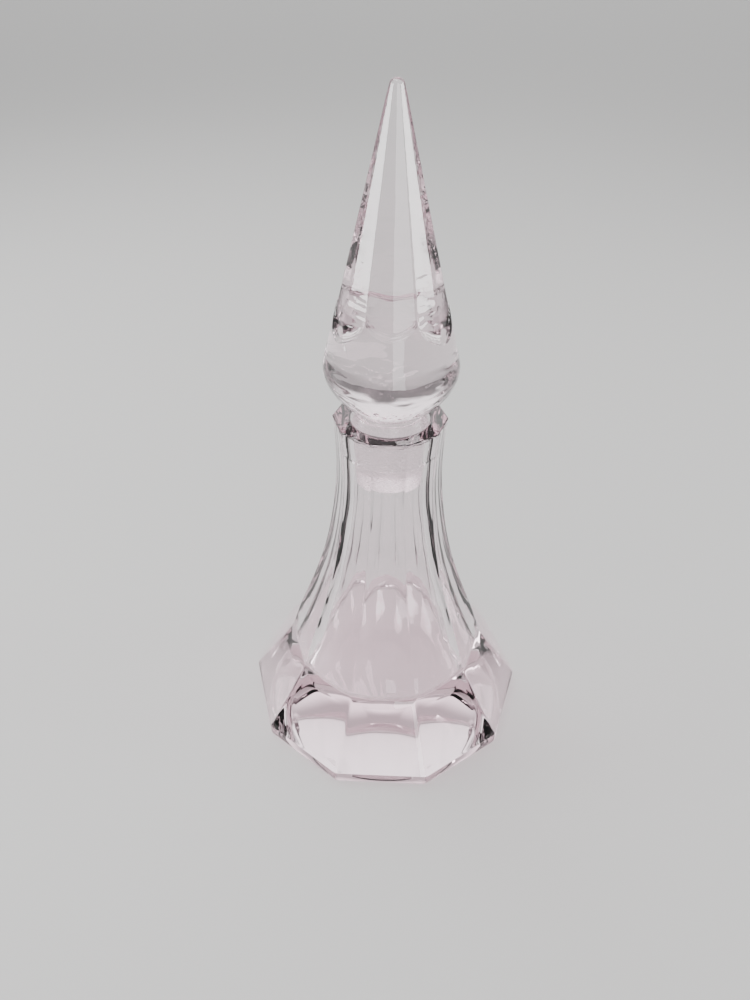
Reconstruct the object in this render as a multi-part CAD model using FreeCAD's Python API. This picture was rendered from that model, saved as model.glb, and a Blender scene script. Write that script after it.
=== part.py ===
"""Cut-crystal perfume bottle with a ground-in pyramid stopper.

Units are millimetres. +Z is up, the origin is the middle of the foot's underside, and
one flat panel of the ten-sided bottle faces -Y. Heights are measured from the surface
that the bottle stands on.
"""
import FreeCAD, Part
import math
import os

from FreeCAD import Vector

# bottle: ten-sided, all radii are to the ridges
SIDES = 10
FOOT_RADIUS = 43.4
FOOT_WALL_HEIGHT = 4.0
FOOT_BEVEL = 0.6
FOOT_TOP_HEIGHT = 24.4
FOOT_TOP_RADIUS = 29.3
RIM_HEIGHT = 101.8
# stations up the body: height, ridge radius, roundness (0 flat panels, 1 a full circle)
BODY_STATIONS = (
    (16.0, 31.0, 1.0),
    (20.6, 30.4, 1.0),
    (24.0, 29.8, 0.2),
    (28.5, 28.6, 0.0),
    (40.5, 24.2, 0.0),
    (52.2, 20.1, 0.0),
    (64.0, 17.1, 0.0),
    (76.4, 15.2, 0.0),
    (89.0, 14.4, 0.0),
    (RIM_HEIGHT, 15.15, 0.0),
)

# hollow inside: a round cavity with a dished floor, clear of the panels
FLOOR_HEIGHT = 14.6
# radius and height along the floor and round its corner
FLOOR_HALF_WAY = (11.8, 15.48)
FLOOR_EDGE = (23.0, 18.0)
FLOOR_CORNER_MID = (25.4, 19.4)
# cavity wall from the floor's corner up to the foot of the ground mouth: height, radius
CAVITY_STATIONS = (
    (21.8, 26.2),
    (28.5, 23.2),
    (40.5, 18.8),
    (52.2, 15.1),
    (64.0, 12.4),
    (76.4, 10.5),
    (92.2, 9.95),
)
MOUTH_RADIUS = 10.4
MOUTH_TAPER = 0.07
MOUTH_DEPTH = 9.0
MOUTH_CHAMFER = 0.35
# how far the cutting tool reaches above the rim
OVERCUT = 1.0

# stopper
TIP_HEIGHT = 178.1
TIP_RADIUS = 2.0
CONE_SLOPE = 0.255
CONE_FOOT_HEIGHT = 118.4
CONE_FOOT_RADIUS = 16.7
SHOULDER_MID = (16.95, 116.0)
SHOULDER_END = (16.55, 113.9)
BOWL_MID = (14.1, 109.4)
BOWL_END = (9.4, 105.4)
COLLAR_RADIUS = 8.5
COLLAR_FOOT_HEIGHT = 103.4
SKIRT_TOP_RADIUS = 8.9
SKIRT_FOOT_HEIGHT = 99.8
PLUG_FOOT_HEIGHT = 84.2
PLUG_CHAMFER = 0.6
GROUND_CLEARANCE = 0.12

# twelve flat facets of the stopper's spire, in six pairs: strong ridges between the pairs,
# a weak edge down the middle of each, and a round arch under each pair
FRONT_HALF_WIDTH = 26.0
FACET_DEPTH = 0.15
WEAK_EDGE_RATIO = 0.95
FACET_ROOT_HEIGHT = 120.0
FRONT_ARCH_LOW = 128.4
SIDE_ARCH_LOW = 125.5
CUSP_HEIGHT = 132.4
# the arch's bulge, as shares of its half width and of its rise
ARCH_BULGE = (0.76, 0.36)
ARCH_TOP_HEIGHT = 190.0
ARCH_REACH = 25.0


def polar(radius, degrees, height):
    """Point at an azimuth counted from the front (-Y) towards +X."""
    angle = math.radians(degrees)
    return Vector(radius * math.sin(angle), -radius * math.cos(angle), height)


def panelled_section(height, ridge_radius, roundness):
    """Ten-sided outline whose sides swell from flat panels to a full circle."""
    half_step = 180.0 / SIDES
    flat_radius = ridge_radius * math.cos(math.radians(half_step))
    middle_radius = flat_radius + roundness * (ridge_radius - flat_radius)
    edges = []
    for side in range(SIDES):
        middle = 2.0 * half_step * side
        start = polar(ridge_radius, middle - half_step, height)
        end = polar(ridge_radius, middle + half_step, height)
        if roundness > 0.0:
            arc = Part.Arc(start, polar(middle_radius, middle, height), end)
            edges.append(arc.toShape())
        else:
            edges.append(Part.LineSegment(start, end).toShape())
    return Part.Wire(edges)


def foot():
    """Faceted foot: a low upright wall with a thin bevel, then ten slanted panels."""
    levels = (
        (0.0, FOOT_RADIUS - FOOT_BEVEL),
        (FOOT_BEVEL, FOOT_RADIUS),
        (FOOT_WALL_HEIGHT, FOOT_RADIUS),
        (FOOT_TOP_HEIGHT, FOOT_TOP_RADIUS),
    )
    wires = [panelled_section(height, radius, 0.0) for height, radius in levels]
    return Part.makeLoft(wires, True, True)


def body():
    """Flared body with ten upright panels, round where it meets the foot."""
    wires = [panelled_section(*station) for station in BODY_STATIONS]
    return Part.makeLoft(wires, True, False)


def revolved(edges):
    """Solid of revolution about Z from edges in the XZ plane that end on the axis."""
    face = Part.Face(Part.Wire(edges))
    return face.revolve(Vector(0, 0, 0), Vector(0, 0, 1), 360)


def chain(*points):
    """Straight edges through radius-height pairs in the XZ plane."""
    vectors = [Vector(radius, 0, height) for radius, height in points]
    return [Part.LineSegment(a, b).toShape() for a, b in zip(vectors, vectors[1:])]


def arc(start, middle, end):
    """Circular edge through three radius-height pairs in the XZ plane."""
    points = [Vector(radius, 0, height) for radius, height in (start, middle, end)]
    return Part.Arc(*points).toShape()


def mouth_radius(height):
    """Radius of the ground taper at a height."""
    return MOUTH_RADIUS - MOUTH_TAPER * (RIM_HEIGHT - height)


def cavity():
    """The hollow: dished floor, flared wall and ground conical mouth."""
    corner = (CAVITY_STATIONS[0][1], CAVITY_STATIONS[0][0])
    wall = Part.BSplineCurve()
    wall.interpolate([Vector(radius, 0, height) for height, radius in CAVITY_STATIONS])
    neck_height, neck_radius = CAVITY_STATIONS[-1]
    ground_foot = RIM_HEIGHT - MOUTH_DEPTH
    chamfer_foot = RIM_HEIGHT - MOUTH_CHAMFER
    above = RIM_HEIGHT + OVERCUT
    edges = [
        arc((0, FLOOR_HEIGHT), FLOOR_HALF_WAY, FLOOR_EDGE),
        arc(FLOOR_EDGE, FLOOR_CORNER_MID, corner),
        wall.toShape(),
    ]
    edges += chain(
        (neck_radius, neck_height),
        (mouth_radius(ground_foot), ground_foot),
        (mouth_radius(chamfer_foot), chamfer_foot),
        (MOUTH_RADIUS + MOUTH_CHAMFER, RIM_HEIGHT),
        (MOUTH_RADIUS + MOUTH_CHAMFER, above),
        (0, above),
        (0, FLOOR_HEIGHT),
    )
    return revolved(edges)


def bottle():
    """One piece of crystal: foot and body, hollowed."""
    return foot().fuse(body()).cut(cavity()).removeSplitter()


def stopper_blank():
    """Turned blank of the stopper: plug, skirt, collar, bowl and cone with a round tip."""
    plug_top = mouth_radius(SKIRT_FOOT_HEIGHT) - GROUND_CLEARANCE
    plug_foot = mouth_radius(PLUG_FOOT_HEIGHT) - GROUND_CLEARANCE
    # the tip is an arc that runs smoothly into the cone
    lean = math.atan(CONE_SLOPE)
    tip_middle = TIP_HEIGHT - TIP_RADIUS
    tangent = (TIP_RADIUS * math.cos(lean), tip_middle + TIP_RADIUS * math.sin(lean))
    half_way = (math.pi / 2 + lean) / 2
    tip_mid = (TIP_RADIUS * math.cos(half_way), tip_middle + TIP_RADIUS * math.sin(half_way))
    cone_foot = (CONE_FOOT_RADIUS, CONE_FOOT_HEIGHT)
    edges = chain(
        (0, PLUG_FOOT_HEIGHT),
        (plug_foot - PLUG_CHAMFER, PLUG_FOOT_HEIGHT),
        (plug_foot, PLUG_FOOT_HEIGHT + PLUG_CHAMFER),
        (plug_top, SKIRT_FOOT_HEIGHT),
        (SKIRT_TOP_RADIUS, COLLAR_FOOT_HEIGHT),
        (COLLAR_RADIUS, COLLAR_FOOT_HEIGHT),
        (COLLAR_RADIUS, BOWL_END[1]),
        BOWL_END,
    )
    edges.append(arc(BOWL_END, BOWL_MID, SHOULDER_END))
    edges.append(arc(SHOULDER_END, SHOULDER_MID, cone_foot))
    edges += chain(cone_foot, tangent)
    edges.append(arc(tangent, tip_mid, (0, TIP_HEIGHT)))
    edges += chain((0, TIP_HEIGHT), (0, PLUG_FOOT_HEIGHT))
    return revolved(edges)


def cone_radius(height):
    """Radius of the blank's cone at a height."""
    return CONE_FOOT_RADIUS - CONE_SLOPE * (height - CONE_FOOT_HEIGHT)


def facet_pairs():
    """Middle azimuth, half width and arch low point of the six facet pairs, in order."""
    # a side pair fills the rest of its quarter turn
    side_half = (90.0 - FRONT_HALF_WIDTH) / 2.0
    side_middle = FRONT_HALF_WIDTH + side_half
    pairs = [(middle, FRONT_HALF_WIDTH, FRONT_ARCH_LOW) for middle in (0.0, 180.0)]
    for middle in (side_middle, 180.0 - side_middle, 180.0 + side_middle, 360.0 - side_middle):
        pairs.append((middle, side_half, SIDE_ARCH_LOW))
    return sorted(pairs)


def spire():
    """Pyramid of twelve facets, with its apex where the blank's cone would end."""
    apex_height = CONE_FOOT_HEIGHT + (CONE_FOOT_RADIUS - FACET_DEPTH) / CONE_SLOPE
    base_radius = cone_radius(FACET_ROOT_HEIGHT) - FACET_DEPTH
    points = []
    for middle, half, _ in facet_pairs():
        points.append(polar(base_radius, middle - half, FACET_ROOT_HEIGHT))
        points.append(polar(base_radius * WEAK_EDGE_RATIO, middle, FACET_ROOT_HEIGHT))
    apex = Vector(0, 0, apex_height)
    ring = list(zip(points, points[1:] + points[:1]))
    faces = [Part.Face(Part.makePolygon([a, b, apex, a])) for a, b in ring]
    faces.append(Part.Face(Part.makePolygon(points + points[:1])))
    return Part.makeSolid(Part.makeShell(faces))


def arch_cutter(half, low_height):
    """Prism with a round lower end, seen from the front, that clears one facet pair."""
    def at(x, height):
        return Vector(x, 0, height)

    side = cone_radius(CUSP_HEIGHT) * math.sin(math.radians(half))
    bulge_x = ARCH_BULGE[0] * side
    bulge_height = low_height + ARCH_BULGE[1] * (CUSP_HEIGHT - low_height)
    low = at(0, low_height)
    edges = [
        Part.Arc(at(-side, CUSP_HEIGHT), at(-bulge_x, bulge_height), low).toShape(),
        Part.Arc(low, at(bulge_x, bulge_height), at(side, CUSP_HEIGHT)).toShape(),
        Part.LineSegment(at(side, CUSP_HEIGHT), at(side, ARCH_TOP_HEIGHT)).toShape(),
        Part.LineSegment(at(side, ARCH_TOP_HEIGHT), at(-side, ARCH_TOP_HEIGHT)).toShape(),
        Part.LineSegment(at(-side, ARCH_TOP_HEIGHT), at(-side, CUSP_HEIGHT)).toShape(),
    ]
    return Part.Face(Part.Wire(edges)).extrude(Vector(0, -ARCH_REACH, 0))


def stopper():
    """Solid stopper: the turned blank with six pairs of facets cut into its cone."""
    core = spire()
    blank = stopper_blank()
    for middle, half, low_height in facet_pairs():
        cutter = arch_cutter(half, low_height)
        cutter.rotate(Vector(0, 0, 0), Vector(0, 0, 1), middle)
        blank = blank.cut(cutter.cut(core))
    return blank


os.makedirs("parts", exist_ok=True)
for name, shape in (("bottle", bottle()), ("stopper", stopper())):
    shape.exportStep("parts/" + name + ".step")
    print(name, shape.isValid(), len(shape.Solids), round(shape.Volume), shape.BoundBox)
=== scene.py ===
"""Looks of a cut-crystal perfume bottle and its ground stopper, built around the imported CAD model.

Units are metres. MM turns the millimetre sizes below into metres. Azimuths are in degrees from
the front (-Y) towards +X.
"""
import math

import bpy
import numpy as np
from mathutils import Matrix, Vector


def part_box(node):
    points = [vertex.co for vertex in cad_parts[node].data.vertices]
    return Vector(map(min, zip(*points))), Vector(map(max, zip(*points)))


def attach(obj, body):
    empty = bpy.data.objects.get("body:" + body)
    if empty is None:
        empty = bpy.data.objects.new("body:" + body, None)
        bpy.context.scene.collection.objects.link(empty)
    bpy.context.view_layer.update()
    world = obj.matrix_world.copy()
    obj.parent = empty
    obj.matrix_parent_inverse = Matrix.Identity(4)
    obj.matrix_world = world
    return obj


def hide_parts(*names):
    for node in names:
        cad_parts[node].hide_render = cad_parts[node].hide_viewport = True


MM = 0.001

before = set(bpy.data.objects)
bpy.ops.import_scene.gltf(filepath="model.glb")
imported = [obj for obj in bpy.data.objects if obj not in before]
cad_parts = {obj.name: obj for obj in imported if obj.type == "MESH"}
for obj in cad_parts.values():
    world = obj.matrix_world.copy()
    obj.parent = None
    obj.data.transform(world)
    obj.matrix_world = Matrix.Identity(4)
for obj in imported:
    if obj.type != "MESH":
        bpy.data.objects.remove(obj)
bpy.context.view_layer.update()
bottle_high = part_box("bottle")[1]
stopper_low, stopper_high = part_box("stopper")

# ---------------------------------------------------------------- sizes, in millimetres

SIDES = 10
FOOT_RADIUS = bottle_high[0] / MM
RIM_HEIGHT = bottle_high[2] / MM
FOOT_WALL_HEIGHT = 4.0
FOOT_BEVEL = 0.6
FOOT_TOP = (24.4, 29.3)
# stations up the body: height, ridge radius, roundness
BODY_STATIONS = (
    (16.0, 31.0, 1.0),
    (20.6, 30.4, 1.0),
    (24.0, 29.8, 0.2),
    (28.5, 28.6, 0.0),
    (40.5, 24.2, 0.0),
    (52.2, 20.1, 0.0),
    (64.0, 17.1, 0.0),
    (76.4, 15.2, 0.0),
    (89.0, 14.4, 0.0),
    (RIM_HEIGHT, 15.15, 0.0),
)
# higher is sharper: the ridges between panels, and the cove where body and foot meet
RIDGE_SHARPNESS = 200.0
COVE_SHARPNESS = 4.0
# rounding of the rim's outer edge
RIM_EASE = 0.35

MOUTH_RADIUS = 10.4
MOUTH_TAPER = 0.07
MOUTH_DEPTH = 9.0
MOUTH_CHAMFER = 0.35
NECK_RADIUS = 9.95
NECK_STEP = 0.6
# dished floor of the cavity: middle height, half-way point and edge
FLOOR_HEIGHT = 14.6
FLOOR_HALF_WAY = (11.8, 15.48)
FLOOR_EDGE = (23.0, 18.0)
FLOOR_CORNER_MID = (25.4, 19.4)
CAVITY_STATIONS = (
    (21.8, 26.2),
    (28.5, 23.2),
    (40.5, 18.8),
    (52.2, 15.1),
    (64.0, 12.4),
    (76.4, 10.5),
    (RIM_HEIGHT - MOUTH_DEPTH - NECK_STEP, NECK_RADIUS),
)

TIP_HEIGHT = stopper_high[2] / MM
PLUG_FOOT_HEIGHT = stopper_low[2] / MM
TIP_RADIUS = 2.0
CONE_SLOPE = 0.255
CONE_FOOT = (16.7, 118.4)
SHOULDER_MID = (16.95, 116.0)
SHOULDER_END = (16.55, 113.9)
BOWL_MID = (14.1, 109.4)
BOWL_END = (9.4, 105.4)
COLLAR_RADIUS = 8.5
COLLAR_FOOT_HEIGHT = 103.4
SKIRT_TOP_RADIUS = 8.9
SKIRT_FOOT_HEIGHT = 99.8
PLUG_CHAMFER = 0.6
GROUND_CLEARANCE = 0.12
# six pairs of facets round the spire
FRONT_HALF_WIDTH = 26.0
FACET_DEPTH = 0.15
WEAK_EDGE_RATIO = 0.95
FACET_SHARPNESS = 110.0
TIP_SHARPNESS = 6.0
FRONT_ARCH_LOW = 128.4
SIDE_ARCH_LOW = 125.5
CUSP_HEIGHT = 132.4
ARCH_POINT = 0.2
# hollow ground along each arch, with its wheel marks
SCOOP_WIDTH = 2.0
WHEEL_MARKS = 3
# polishing dimples round the bowl
DIMPLES_ROUND = 20
DIMPLE_PITCH = 3.4
DIMPLE_DEPTH = 0.1
WHEEL_MARK_DEPTH = 0.3


# ---------------------------------------------------------------- curves

def natural_spline(xs, ys):
    """Function of the natural cubic spline through the points."""
    xs, ys = np.asarray(xs, float), np.asarray(ys, float)
    h = np.diff(xs)
    n = len(xs)
    a = np.eye(n)
    b = np.zeros(n)
    for i in range(1, n - 1):
        a[i, i - 1:i + 2] = h[i - 1], 2 * (h[i - 1] + h[i]), h[i]
        b[i] = 6 * ((ys[i + 1] - ys[i]) / h[i] - (ys[i] - ys[i - 1]) / h[i - 1])
    m = np.linalg.solve(a, b)

    def value(x):
        x = np.clip(np.asarray(x, float), xs[0], xs[-1])
        i = np.clip(np.searchsorted(xs, x) - 1, 0, n - 2)
        left, right = x - xs[i], xs[i + 1] - x
        cubic = (m[i] * right ** 3 + m[i + 1] * left ** 3) / (6 * h[i])
        line = (ys[i] / h[i] - m[i] * h[i] / 6) * right
        return cubic + line + (ys[i + 1] / h[i] - m[i + 1] * h[i] / 6) * left

    return value


def arc_points(start, middle, end, count):
    """Points along the circular arc through three radius-height pairs, both ends included."""
    (ax, ay), (bx, by), (cx, cy) = start, middle, end
    d = 2 * (ax * (by - cy) + bx * (cy - ay) + cx * (ay - by))
    sa, sb, sc = ax * ax + ay * ay, bx * bx + by * by, cx * cx + cy * cy
    ux = (sa * (by - cy) + sb * (cy - ay) + sc * (ay - by)) / d
    uy = (sa * (cx - bx) + sb * (ax - cx) + sc * (bx - ax)) / d
    radius = math.hypot(ax - ux, ay - uy)
    a0, a1, a2 = (math.atan2(y - uy, x - ux) for x, y in (start, middle, end))
    sweep = (a2 - a0) % (2 * math.pi)
    if (a1 - a0) % (2 * math.pi) > sweep:
        sweep -= 2 * math.pi
    angles = a0 + sweep * np.linspace(0, 1, count)
    return [(ux + radius * math.cos(t), uy + radius * math.sin(t)) for t in angles]


def rounded(points, radii, count=5):
    """Polyline through radius-height pairs with each corner rounded by its radius."""
    out = [points[0]]
    for before, corner, after, radius in zip(points, points[1:], points[2:], radii):
        p, q, r = (np.array(v, float) for v in (before, corner, after))
        u, v = (p - q) / np.linalg.norm(p - q), (r - q) / np.linalg.norm(r - q)
        half = math.acos(np.clip(u @ v, -1, 1)) / 2
        reach = radius / math.tan(half)
        centre = q + (u + v) / np.linalg.norm(u + v) * radius / math.sin(half)
        start, end = q + u * reach, q + v * reach
        middle = centre + (q - centre) / np.linalg.norm(q - centre) * radius
        out += arc_points(start, middle, end, count)
    out.append(points[-1])
    return out


def subdivided(points, step):
    """The polyline with no stretch longer than step."""
    out = [points[0]]
    for (r0, z0), (r1, z1) in zip(points, points[1:]):
        parts = max(1, math.ceil(math.hypot(r1 - r0, z1 - z0) / step))
        for k in range(1, parts + 1):
            t = k / parts
            out.append((r0 + (r1 - r0) * t, z0 + (z1 - z0) * t))
    return out


# ---------------------------------------------------------------- sections

def polygon_radius(azimuths, normals, apothems, sharpness):
    """Radius of a polygon by its facets' azimuths and apothems, with its ridges just eased."""
    facing = np.cos(np.radians(azimuths[:, None] - np.asarray(normals)[None, :]))
    return np.sum((np.clip(facing, 0, 1) / apothems) ** sharpness, axis=1) ** (-1 / sharpness)


def bunched_azimuths(edges, offsets):
    """Azimuths all the way round, bunched towards each edge."""
    out = []
    for edge, after in zip(edges, list(edges[1:]) + [edges[0] + 360.0]):
        width = after - edge
        near = [offset for offset in offsets if offset < width / 2]
        out += [edge + offset for offset in near]
        out.append(edge + width / 2)
        out += [after - offset for offset in near[:0:-1]]
    return np.array(out)


def lathe_mesh(name, rings, azimuths):
    """Closed mesh from rings of (radii, heights) by azimuth, in mm, with a cap at each end."""
    turn = np.radians(azimuths)
    n = len(turn)
    sheets = [
        np.stack([r * np.sin(turn), -r * np.cos(turn), z * np.ones(n)], axis=1) for r, z in rings
    ]
    ends = [[[0, 0, np.mean(heights)]] for heights in (rings[0][1], rings[-1][1])]
    verts = np.concatenate(sheets + ends)
    faces = []
    around = np.arange(n)
    after = (around + 1) % n
    for k in range(len(rings) - 1):
        low, high = k * n, (k + 1) * n
        quads = np.stack([low + around, low + after, high + after, high + around], axis=1)
        faces += quads.tolist()
    first, last = len(rings) * n, len(rings) * n + 1
    top = (len(rings) - 1) * n
    faces += [[first, b, a] for a, b in zip(around.tolist(), after.tolist())]
    faces += [[last, top + a, top + b] for a, b in zip(around.tolist(), after.tolist())]
    mesh = bpy.data.meshes.new(name)
    mesh.from_pydata((verts * MM).tolist(), [], faces)
    mesh.validate()
    mesh.polygons.foreach_set("use_smooth", [True] * len(mesh.polygons))
    mesh.update()
    piece = bpy.data.objects.new(name, mesh)
    bpy.context.scene.collection.objects.link(piece)
    return piece


# ---------------------------------------------------------------- bottle

PANEL_NORMALS = np.arange(SIDES) * 360.0 / SIDES
# degrees from each ridge to the mesh's columns beside it
RIDGE_OFFSETS = (0, 0.05, 0.11, 0.18, 0.27, 0.4, 0.6, 0.9, 1.4, 2.5, 4.5, 7.5, 11.0, 14.5)


# innermost ring of the underside, and how far up the skirt the foot's profile goes
UNDERSIDE_START = 2.0
SKIRT_START = 2.0
# roundings at the underside's edge, above the bevel and at the top of the low wall
FOOT_ROUNDINGS = (0.15, 0.15, 0.3)
FOOT_STEP = 4.0
# rings up the outside, closest together at the cove: from, to and step
OUTSIDE_RUNS = (
    (FOOT_WALL_HEIGHT + SKIRT_START + 1.0, 18.0, 1.0),
    (18.0, 25.0, 0.12),
    (25.0, 30.0, 0.4),
    (30.0, RIM_HEIGHT - 1.0, 0.9),
)
# rings over the rim: round its outer edge, and from that edge across the flat to the mouth
RIM_TURNS = np.radians(np.linspace(0, 90, 6))
RIM_SHARES = (0.03, 0.5, 0.97)
# mouth and cavity: roundings down the mouth, steps along it and down the wall, and points round
# the corner of the floor and across it
MOUTH_ROUNDINGS = (0.15, 0.2, 0.2)
GROUND_STEP = 0.9
WALL_STEP = 0.8
CORNER_POINTS = 14
FLOOR_POINTS = 24


def bottle_rings(azimuths):
    """Rings from the middle of the underside, up the outside, over the rim and down the cavity."""
    flat_ratio = math.cos(math.pi / SIDES)
    flat = polygon_radius(azimuths, PANEL_NORMALS, flat_ratio, RIDGE_SHARPNESS)
    heights, radii, roundness = zip(*BODY_STATIONS)
    ridge = natural_spline(heights, radii)
    top_height, top_radius = FOOT_TOP
    skirt_slope = (top_radius - FOOT_RADIUS) / (top_height - FOOT_WALL_HEIGHT)

    def outside(z):
        share = np.interp(z, heights, roundness)
        body = ridge(z) * (flat + share * (1 - flat))
        skirt = (FOOT_RADIUS + skirt_slope * (z - FOOT_WALL_HEIGHT)) * flat
        return np.logaddexp(COVE_SHARPNESS * body, COVE_SHARPNESS * skirt) / COVE_SHARPNESS

    rings = []
    # underside, bevel, low wall and the start of the skirt
    skirt_start = (FOOT_RADIUS + skirt_slope * SKIRT_START, FOOT_WALL_HEIGHT + SKIRT_START)
    foot_profile = rounded(
        [(UNDERSIDE_START, 0.0), (FOOT_RADIUS - FOOT_BEVEL, 0.0), (FOOT_RADIUS, FOOT_BEVEL),
         (FOOT_RADIUS, FOOT_WALL_HEIGHT), skirt_start],
        FOOT_ROUNDINGS,
    )
    rings += [(r * flat, z) for r, z in subdivided(foot_profile, FOOT_STEP)]
    rings += [(outside(z), z) for run in OUTSIDE_RUNS for z in np.arange(*run)]
    # rim: outer edge eased, flat top narrowing from ten sides to the round mouth
    edge = outside(RIM_HEIGHT - RIM_EASE)
    for turn in RIM_TURNS:
        height = RIM_HEIGHT - RIM_EASE + RIM_EASE * math.sin(turn)
        rings.append((edge - RIM_EASE * (1 - math.cos(turn)), height))
    mouth_top = MOUTH_RADIUS + MOUTH_CHAMFER
    for share in RIM_SHARES:
        rings.append(((edge - RIM_EASE) * (1 - share) + mouth_top * share, RIM_HEIGHT))
    round_ring = np.ones(len(azimuths))
    rings += [(r * round_ring, z) for r, z in cavity_profile()]
    return rings


def mouth_radius(height):
    """Radius of the ground taper at a height."""
    return MOUTH_RADIUS - MOUTH_TAPER * (RIM_HEIGHT - height)


def cavity_profile():
    """Radius-height pairs from the rim down the mouth, neck and wall to the middle of the floor."""
    ground_foot = RIM_HEIGHT - MOUTH_DEPTH
    neck_top = CAVITY_STATIONS[-1][0]
    mouth = rounded(
        [(MOUTH_RADIUS + MOUTH_CHAMFER, RIM_HEIGHT),
         (mouth_radius(RIM_HEIGHT - MOUTH_CHAMFER), RIM_HEIGHT - MOUTH_CHAMFER),
         (mouth_radius(ground_foot), ground_foot),
         (NECK_RADIUS, neck_top), (NECK_RADIUS, neck_top - 1.0)],
        MOUTH_ROUNDINGS,
    )
    wall_radius = natural_spline(*zip(*CAVITY_STATIONS))
    wall_foot = CAVITY_STATIONS[0][0]
    wall = [(float(wall_radius(z)), z) for z in np.arange(neck_top - 2.0, wall_foot, -WALL_STEP)]
    foot_radius = CAVITY_STATIONS[0][1]
    corner = arc_points((foot_radius, wall_foot), FLOOR_CORNER_MID, FLOOR_EDGE, CORNER_POINTS)
    floor = arc_points(FLOOR_EDGE, FLOOR_HALF_WAY, (0.0, FLOOR_HEIGHT), FLOOR_POINTS)
    return subdivided(mouth, GROUND_STEP) + wall + corner + floor[1:-1]


# ---------------------------------------------------------------- stopper

def facet_pairs():
    """Middle azimuth, half width and arch low point of the six facet pairs, in order."""
    side_half = (90.0 - FRONT_HALF_WIDTH) / 2
    side_middle = FRONT_HALF_WIDTH + side_half
    pairs = [(middle, FRONT_HALF_WIDTH, FRONT_ARCH_LOW) for middle in (0.0, 180.0)]
    for middle in (side_middle, 180.0 - side_middle, 180.0 + side_middle, 360.0 - side_middle):
        pairs.append((middle, side_half, SIDE_ARCH_LOW))
    return sorted(pairs)


PAIRS = facet_pairs()
# a radius past any part of the stopper, and the slack in comparing azimuths
OUT_OF_REACH = 99.0
ROUNDING = 0.000001
# degrees from each edge of the spire to the mesh's columns beside it
FACET_OFFSETS = (0, 0.12, 0.35, 0.7, 1.2, 2.0, 3.2, 4.8, 6.4, 8.0, 9.6, 11.2, 12.8, 14.4)
# innermost ring of the plug's foot
PLUG_START = 1.0
# the collar's two beads: how far in from its radius and how far above its foot
COLLAR_BEADS = ((0.25, 0), (0.25, 0.25), (0, 0.45), (0, 0.95), (0.3, 1.1), (0.3, 1.35), (0, 1.5))
# roundings from the plug's foot up to the last bead
PLUG_ROUNDINGS = (0.15, 0.15, 0.8, 0.2, 0.06, 0.06, 0.08, 0.08, 0.05, 0.05, 0.08)
BOWL_POINTS = 30
SHOULDER_POINTS = 12
# rings by their share of the way up: the cone to the arches, the scoops, and the spire to its
# tip, and then by their angle round the tip
CONE_SHARES = (*np.linspace(0.08, 0.9, 12), 0.97, 0.99, 1.0)
SCOOP_SHARES = (0.02, *np.linspace(0, 1, 31)[1:])
SPIRE_SHARES = np.linspace(0, 1, 60)[1:]
TIP_TURNS = np.radians(np.arange(4, 88, 4))


def cone_radius(z):
    """Radius of the turned cone at a height."""
    return CONE_FOOT[0] - CONE_SLOPE * (z - CONE_FOOT[1])


def turned_profile():
    """Radius-height pairs from the plug's foot to the foot of the cone."""
    plug_foot = mouth_radius(PLUG_FOOT_HEIGHT) - GROUND_CLEARANCE
    plug_top = mouth_radius(SKIRT_FOOT_HEIGHT) - GROUND_CLEARANCE
    lip = COLLAR_FOOT_HEIGHT
    plug = rounded(
        [(PLUG_START, PLUG_FOOT_HEIGHT), (plug_foot - PLUG_CHAMFER, PLUG_FOOT_HEIGHT),
         (plug_foot, PLUG_FOOT_HEIGHT + PLUG_CHAMFER), (plug_top, SKIRT_FOOT_HEIGHT),
         (SKIRT_TOP_RADIUS, lip),
         *((COLLAR_RADIUS - inset, lip + rise) for inset, rise in COLLAR_BEADS), BOWL_END],
        PLUG_ROUNDINGS,
    )
    bowl = arc_points(BOWL_END, BOWL_MID, SHOULDER_END, BOWL_POINTS)
    shoulder = arc_points(SHOULDER_END, SHOULDER_MID, CONE_FOOT, SHOULDER_POINTS)
    return subdivided(plug, GROUND_STEP) + bowl[1:] + shoulder[1:]


def bowl_relief(height, azimuths):
    """Shallow polishing dimples round the bowl, fading out at its foot and at its shoulder."""
    share = np.clip((height - BOWL_END[1]) / (SHOULDER_END[1] - BOWL_END[1]), 0, 1)
    depth = DIMPLE_DEPTH * math.sin(math.pi * share) ** 2
    turn = np.radians(azimuths)
    around = np.sin(DIMPLES_ROUND * turn + np.sin(2 * turn))
    return depth * around * math.sin(math.tau * height / DIMPLE_PITCH)


def arch_height(azimuths):
    """Height of the arches' edge by azimuth: low in the middle of a pair, a cusp at each ridge."""
    height = np.zeros(len(azimuths))
    for middle, half, low in PAIRS:
        share = np.abs((azimuths - middle + 180.0) % 360.0 - 180.0) / half
        curve = ARCH_POINT * share + (1 - ARCH_POINT) * (1 - np.sqrt(np.clip(1 - share ** 2, 0, 1)))
        height = np.where(share <= 1 + ROUNDING, low + (CUSP_HEIGHT - low) * curve, height)
    return height


def spire_section(azimuths):
    """Radius of the twelve-sided spire by azimuth, over its radius at the strong ridges."""
    normals, apothems = [], []
    for middle, half, _ in PAIRS:
        turn = math.radians(half)
        tilt = math.atan((WEAK_EDGE_RATIO - math.cos(turn)) / math.sin(turn))
        normals += [middle - math.degrees(tilt), middle + math.degrees(tilt)]
        apothems += [WEAK_EDGE_RATIO * math.cos(tilt)] * 2
    return polygon_radius(azimuths, normals, np.array(apothems), FACET_SHARPNESS)


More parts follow.
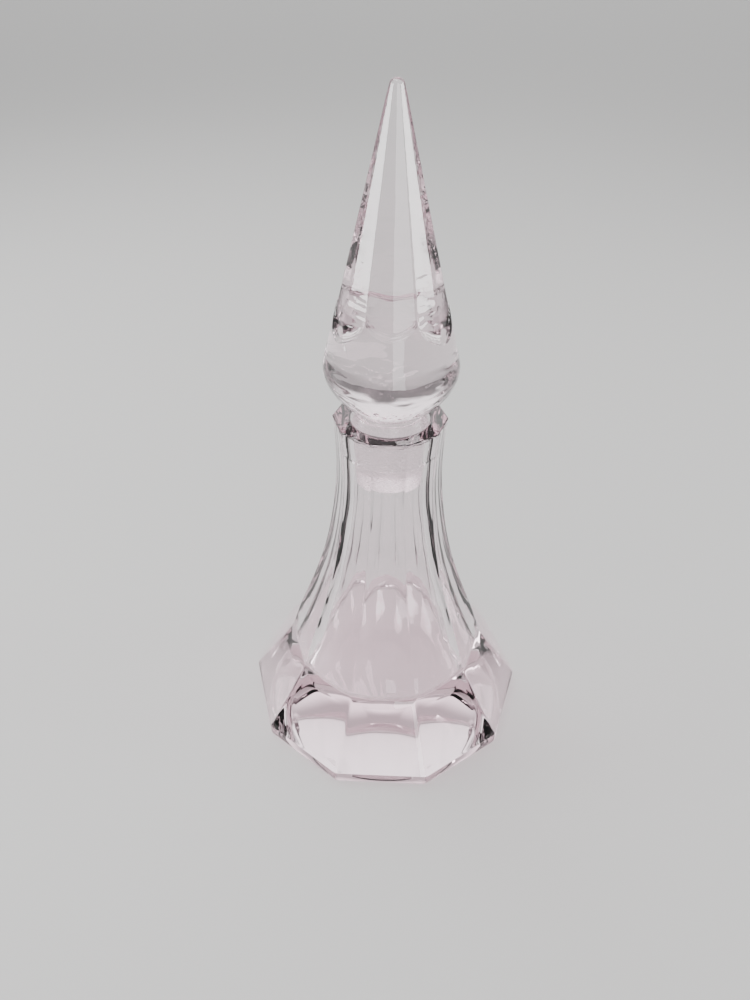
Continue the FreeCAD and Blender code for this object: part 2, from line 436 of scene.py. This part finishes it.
def stopper_rings(azimuths):
    """Rings from the middle of the plug's foot up to the tip."""
    facets = spire_section(azimuths)
    arch = arch_height(azimuths)
    tip_middle = TIP_HEIGHT - TIP_RADIUS

    def spire(z):
        return (cone_radius(z) - FACET_DEPTH) * facets

    def rounded_tip(z):
        ball = np.sqrt(np.clip(TIP_RADIUS ** 2 - np.clip(z - tip_middle, 0, None) ** 2, 0, None))
        ball = np.where(z < tip_middle, OUT_OF_REACH, ball)
        return -np.logaddexp(-TIP_SHARPNESS * ball, -TIP_SHARPNESS * spire(z)) / TIP_SHARPNESS

    ones = np.ones(len(azimuths))
    rings = [(r + bowl_relief(z, azimuths), z * ones) for r, z in turned_profile()]
    for share in CONE_SHARES:
        z = CONE_FOOT[1] + (arch - CONE_FOOT[1]) * share
        rings.append((cone_radius(z), z))
    for share in SCOOP_SHARES:
        z = arch + SCOOP_WIDTH * share
        mark = 1 - WHEEL_MARK_DEPTH * math.sin(math.pi * WHEEL_MARKS * share) ** 2
        lift = (cone_radius(z) - spire(z)) * (1 - share) ** 2 * mark
        rings.append((spire(z) + lift, z))
    scoop_top = arch + SCOOP_WIDTH
    for share in SPIRE_SHARES:
        z = scoop_top + (tip_middle - scoop_top) * share
        rings.append((rounded_tip(z), z))
    for turn in TIP_TURNS:
        z = (tip_middle + TIP_RADIUS * math.sin(turn)) * ones
        rings.append((rounded_tip(z), z))
    return rings


# ---------------------------------------------------------------- shader nodes

def math_node(tree, operation, *values):
    """Output of a maths node fed with sockets or plain numbers."""
    node = tree.nodes.new("ShaderNodeMath")
    node.operation = operation
    for socket, value in zip(node.inputs, values):
        if isinstance(value, (int, float)):
            socket.default_value = value
        else:
            tree.links.new(value, socket)
    return node.outputs[0]


def ranged(tree, value, from_low, from_high, to_low, to_high):
    """Output that eases from one number to another as the value crosses a range."""
    node = tree.nodes.new("ShaderNodeMapRange")
    node.interpolation_type = "SMOOTHSTEP"
    for socket, number in zip(list(node.inputs)[1:5], (from_low, from_high, to_low, to_high)):
        socket.default_value = number
    tree.links.new(value, node.inputs["Value"])
    return node.outputs[0]


def noise(tree, place, detail, stretch):
    """Noise with a number of waves per metre along X, Y and Z."""
    scaled = tree.nodes.new("ShaderNodeMapping")
    scaled.inputs["Scale"].default_value = stretch
    tree.links.new(place, scaled.inputs["Vector"])
    node = tree.nodes.new("ShaderNodeTexNoise")
    node.inputs["Scale"].default_value = 1.0
    node.inputs["Detail"].default_value = detail
    tree.links.new(scaled.outputs[0], node.inputs["Vector"])
    return node.outputs["Fac"]


def bump(tree, height, depth, normal=None):
    """Normal raised by a height from 0 to 1 times a depth in millimetres."""
    node = tree.nodes.new("ShaderNodeBump")
    node.inputs["Distance"].default_value = depth * MM
    tree.links.new(height, node.inputs["Height"])
    if normal:
        tree.links.new(normal, node.inputs["Normal"])
    return node.outputs[0]


# ---------------------------------------------------------------- crystal

CRYSTAL_COLOUR = (0.98, 0.95, 0.965, 1)
CRYSTAL_IOR = 1.545
# tint by depth of glass, and the light left behind the whole bottle
TINT_COLOUR = (0.945, 0.865, 0.893, 1)
TINT_DENSITY = 40.0
SHADOW_COLOUR = (0.84, 0.79, 0.81, 1)
# ground bands: soft edge, roughness of the grain and depth of the grinding lines
BAND_EDGE = 0.25
GRAIN_ROUGHNESS = (0.2, 0.42)
GRINDING_DEPTH = 0.14
# layers of noise: for fine grain, for broad patches and lines, and for ripples
FINE_DETAIL = 2.0
BROAD_DETAIL = 3.0
RIPPLE_DETAIL = 1.0
# spans of the noise that the band's edge, the haze and the grain follow
EDGE_SPAN = (0.2, 0.8)
HAZE_SPAN = (0.6, 0.8)
GRAIN_SPAN = (0.3, 0.7)
# waves per metre along X, Y and Z
EDGE_WAVES = (500, 500, 500)
GRAIN_WAVES = (1500, 1500, 9000)
GRINDING_WAVES = (120, 120, 1300)
HAZE_WAVES = (90, 90, 90)
WEAR_WAVES = (900, 900, 900)
# polished glass: most haze, wear round the foot's edge, and how far the ripples take to fade in
HAZE_ROUGHNESS = 0.02
WEAR_ROUGHNESS = 0.3
WEAR_HEIGHT = (0.3, 1.0)
WEAR_RADIUS = (39.0, 41.0)
RIPPLE_FADE = 10.0


def ground_mask(tree, place, bands, reach):
    """Mask of 1 in the ground bands and 0 elsewhere, with the radius and height it is made from.

    Each band lies between two heights, and all of them within a radius, in millimetres.
    """
    parts = tree.nodes.new("ShaderNodeSeparateXYZ")
    tree.links.new(place, parts.inputs[0])
    x, y, z = parts.outputs
    squares = [math_node(tree, "POWER", side, 2) for side in (x, y)]
    radius = math_node(tree, "SQRT", math_node(tree, "ADD", *squares))
    edge = BAND_EDGE * MM
    wave = ranged(tree, noise(tree, place, FINE_DETAIL, EDGE_WAVES), *EDGE_SPAN, -edge, edge)
    height = math_node(tree, "ADD", z, wave)
    mask = None
    for low, high in bands:
        above = ranged(tree, height, low * MM - edge, low * MM + edge, 0, 1)
        below = ranged(tree, height, high * MM - edge, high * MM + edge, 1, 0)
        band = math_node(tree, "MULTIPLY", above, below)
        mask = math_node(tree, "MAXIMUM", mask, band) if mask else band
    inside = ranged(tree, radius, reach * MM, reach * MM + edge, 1, 0)
    return math_node(tree, "MULTIPLY", mask, inside), radius, z


def crystal(name, bands, reach, ripple_foot, ripple_waves, ripple_depth):
    """Faintly lilac lead crystal: polished, with ground matt bands and slight ripples.

    The ground bands reach out to a radius, and the ripples start above a height, both in
    millimetres. The ripples' waves per metre are given along X, Y and Z.
    """
    material = bpy.data.materials.new(name)
    material.use_nodes = True
    tree = material.node_tree
    link = tree.links.new
    shader = tree.nodes["Principled BSDF"]
    output = tree.nodes["Material Output"]
    place = tree.nodes.new("ShaderNodeTexCoord").outputs["Object"]
    ground, radius, z = ground_mask(tree, place, bands, reach)

    cloud = noise(tree, place, BROAD_DETAIL, HAZE_WAVES)
    haze = ranged(tree, cloud, *HAZE_SPAN, 0.0, HAZE_ROUGHNESS)
    low_edge = ranged(tree, z, WEAR_HEIGHT[0] * MM, WEAR_HEIGHT[1] * MM, WEAR_ROUGHNESS, 0)
    outer_edge = ranged(tree, radius, WEAR_RADIUS[0] * MM, WEAR_RADIUS[1] * MM, 0, 1)
    worn = math_node(tree, "MULTIPLY", low_edge, outer_edge)
    worn = math_node(tree, "MULTIPLY", worn, noise(tree, place, FINE_DETAIL, WEAR_WAVES))
    polished = math_node(tree, "ADD", haze, worn)
    speckle = noise(tree, place, FINE_DETAIL, GRAIN_WAVES)
    grain = ranged(tree, speckle, *GRAIN_SPAN, *GRAIN_ROUGHNESS)
    rough = math_node(tree, "MAXIMUM", polished, math_node(tree, "MULTIPLY", ground, grain))
    link(rough, shader.inputs["Roughness"])

    risen = ranged(tree, z, ripple_foot * MM, (ripple_foot + RIPPLE_FADE) * MM, 0, 1)
    ripple = math_node(tree, "MULTIPLY", risen, noise(tree, place, RIPPLE_DETAIL, ripple_waves))
    scratches = noise(tree, place, BROAD_DETAIL, GRINDING_WAVES)
    lines = math_node(tree, "MULTIPLY", ground, scratches)
    normal = bump(tree, lines, GRINDING_DEPTH, bump(tree, ripple, ripple_depth))
    link(normal, shader.inputs["Normal"])

    shader.inputs["Base Color"].default_value = CRYSTAL_COLOUR
    shader.inputs["Transmission Weight"].default_value = 1.0
    shader.inputs["IOR"].default_value = CRYSTAL_IOR
    tint = tree.nodes.new("ShaderNodeVolumeAbsorption")
    tint.inputs["Color"].default_value = TINT_COLOUR
    tint.inputs["Density"].default_value = TINT_DENSITY
    link(tint.outputs[0], output.inputs["Volume"])

    # the lamps' light passes through the glass to the floor
    rays = tree.nodes.new("ShaderNodeLightPath")
    clear = tree.nodes.new("ShaderNodeBsdfTransparent")
    clear.inputs["Color"].default_value = SHADOW_COLOUR
    mix = tree.nodes.new("ShaderNodeMixShader")
    link(rays.outputs["Is Shadow Ray"], mix.inputs["Fac"])
    link(shader.outputs[0], mix.inputs[1])
    link(clear.outputs[0], mix.inputs[2])
    link(mix.outputs[0], output.inputs["Surface"])
    return material


# ---------------------------------------------------------------- pieces

bottle_azimuths = bunched_azimuths(PANEL_NORMALS + 180.0 / SIDES, RIDGE_OFFSETS)
bottle = lathe_mesh("crystal_bottle", bottle_rings(bottle_azimuths), bottle_azimuths)
# ground at the top of the mouth
bottle.data.materials.append(crystal(
    "bottle_crystal",
    bands=[(99.4, RIM_HEIGHT - 0.4)],
    reach=MOUTH_RADIUS + 0.1,
    ripple_foot=25.0,
    ripple_waves=(300, 300, 30),
    ripple_depth=0.12,
))
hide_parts("bottle")
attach(bottle, "bottle")

stopper_edges = sorted(azimuth for middle, half, _ in PAIRS for azimuth in (middle, middle + half))
stopper_azimuths = bunched_azimuths(stopper_edges, FACET_OFFSETS)
stopper = lathe_mesh("crystal_stopper", stopper_rings(stopper_azimuths), stopper_azimuths)
# ground at the plug's lower end and again under the collar
stopper.data.materials.append(crystal(
    "stopper_crystal",
    bands=[(PLUG_FOOT_HEIGHT - 1.0, 91.8), (98.4, COLLAR_FOOT_HEIGHT - 0.1)],
    reach=12.0,
    ripple_foot=103.0,
    ripple_waves=(160, 160, 420),
    ripple_depth=0.14,
))
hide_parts("stopper")
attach(stopper, "stopper")


# ---------------------------------------------------------------- floor, light and camera

# half the floor's width, and the sliver of air under the foot, in metres
FLOOR_REACH = 6.0
FLOOR_GAP = 0.0001
FLOOR_COLOUR = (0.5, 0.495, 0.49)
FLOOR_ROUGHNESS = 0.6
# strengths of the sky at the horizon and overhead, and of the window behind
SKY_HORIZON = 0.24
SKY_OVERHEAD = 0.95
WINDOW = 2.0
# spans of a sky direction's height and depth over which the sky and the window fade in
SKY_RISE = (0.1, 0.8)
WINDOW_RISE = (0.1, 0.24)
WINDOW_DEPTH = (0.6, 0.85)
# soft lamps: name, place, target, width and height in metres, and power in watts
LAMPS = (
    ("key", (-0.35, 0.3, 0.9), (0, 0, 0.05), 0.5, 0.5, 6.0),
    ("overhead", (-0.12, -0.25, 0.9), (0, 0, 0.05), 0.3, 0.3, 2.0),
    ("right_strip", (0.7, 0.05, 0.24), (0, 0, 0.15), 0.22, 0.3, 3.0),
    ("left_strip", (-0.7, 0.05, 0.24), (0, 0, 0.15), 0.22, 0.3, 3.0),
    ("front", (0.19, -0.8, 0.3), (0, 0, 0.12), 0.28, 0.5, 2.4),
)
# the camera's place relative to its own heading, in millimetres, its angles and its lens
CAMERA_AHEAD = 162.5
CAMERA_ASIDE = -3.8
CAMERA_UP = 196.1
CAMERA_YAW = 2.15
CAMERA_PITCH = 36.8
CAMERA_ROLL = 0.4
CAMERA_LENS = 25.9
SENSOR_WIDTH = 36.0
CLIP_START = 0.001


def plain(name, colour, roughness):
    """Plain matt material for the floor."""
    material = bpy.data.materials.new(name)
    material.use_nodes = True
    shader = material.node_tree.nodes["Principled BSDF"]
    shader.inputs["Base Color"].default_value = (*colour, 1)
    shader.inputs["Roughness"].default_value = roughness
    return material


def floor():
    """Wide pale floor that the bottle stands on."""
    mesh = bpy.data.meshes.new("floor")
    corners = [
        (x * FLOOR_REACH, y * FLOOR_REACH, -FLOOR_GAP) for x, y in ((-1, -1), (1, -1), (1, 1), (-1, 1))
    ]
    mesh.from_pydata(corners, [], [(0, 1, 2, 3)])
    piece = bpy.data.objects.new("floor", mesh)
    bpy.context.scene.collection.objects.link(piece)
    mesh.materials.append(plain("floor_paint", FLOOR_COLOUR, FLOOR_ROUGHNESS))


def softbox(name, place, target, width, height, power):
    """Soft area light aimed at a point."""
    light = bpy.data.lights.new(name, "AREA")
    light.shape = "RECTANGLE"
    light.size, light.size_y, light.energy = width, height, power
    lamp = bpy.data.objects.new(name, light)
    lamp.location = place
    lamp.rotation_euler = (Vector(target) - Vector(place)).to_track_quat("-Z", "Y").to_euler()
    bpy.context.scene.collection.objects.link(lamp)


def studio_sky():
    """White light from all round, dim at the horizon, with a broad soft window behind."""
    world = bpy.data.worlds.new("studio")
    world.use_nodes = True
    tree = world.node_tree
    parts = tree.nodes.new("ShaderNodeSeparateXYZ")
    tree.links.new(tree.nodes.new("ShaderNodeTexCoord").outputs["Generated"], parts.inputs[0])
    _, y, z = parts.outputs
    sky = ranged(tree, z, *SKY_RISE, SKY_HORIZON, SKY_OVERHEAD)
    deep = ranged(tree, y, *WINDOW_DEPTH, 0, WINDOW)
    risen = ranged(tree, z, *WINDOW_RISE, 0, 1)
    pane = math_node(tree, "MULTIPLY", deep, risen)
    background = tree.nodes["Background"]
    tree.links.new(math_node(tree, "ADD", sky, pane), background.inputs["Strength"])
    background.inputs["Color"].default_value = (1, 1, 1, 1)
    bpy.context.scene.world = world


def camera(place, yaw, pitch, roll, lens):
    """Camera level with its pitch below the horizon; yaw 0 looks along +Y."""
    data = bpy.data.cameras.new("camera")
    data.lens, data.sensor_width, data.clip_start = lens, SENSOR_WIDTH, CLIP_START
    eye = bpy.data.objects.new("camera", data)
    eye.location = place
    forward = Vector((
        -math.sin(yaw) * math.cos(pitch), math.cos(yaw) * math.cos(pitch), -math.sin(pitch)
    ))
    turn = forward.to_track_quat("-Z", "Y").to_matrix().to_4x4()
    eye.matrix_world = Matrix.Translation(place) @ turn @ Matrix.Rotation(roll, 4, "Z")
    bpy.context.scene.collection.objects.link(eye)
    bpy.context.scene.camera = eye


floor()
studio_sky()
for lamp in LAMPS:
    softbox(*lamp)

yaw = math.radians(CAMERA_YAW)
ahead, aside, up = CAMERA_AHEAD * MM, CAMERA_ASIDE * MM, CAMERA_UP * MM
place = (
    aside * math.cos(yaw) + ahead * math.sin(yaw),
    aside * math.sin(yaw) - ahead * math.cos(yaw),
    up,
)
camera(place, yaw, math.radians(CAMERA_PITCH), math.radians(CAMERA_ROLL), CAMERA_LENS)
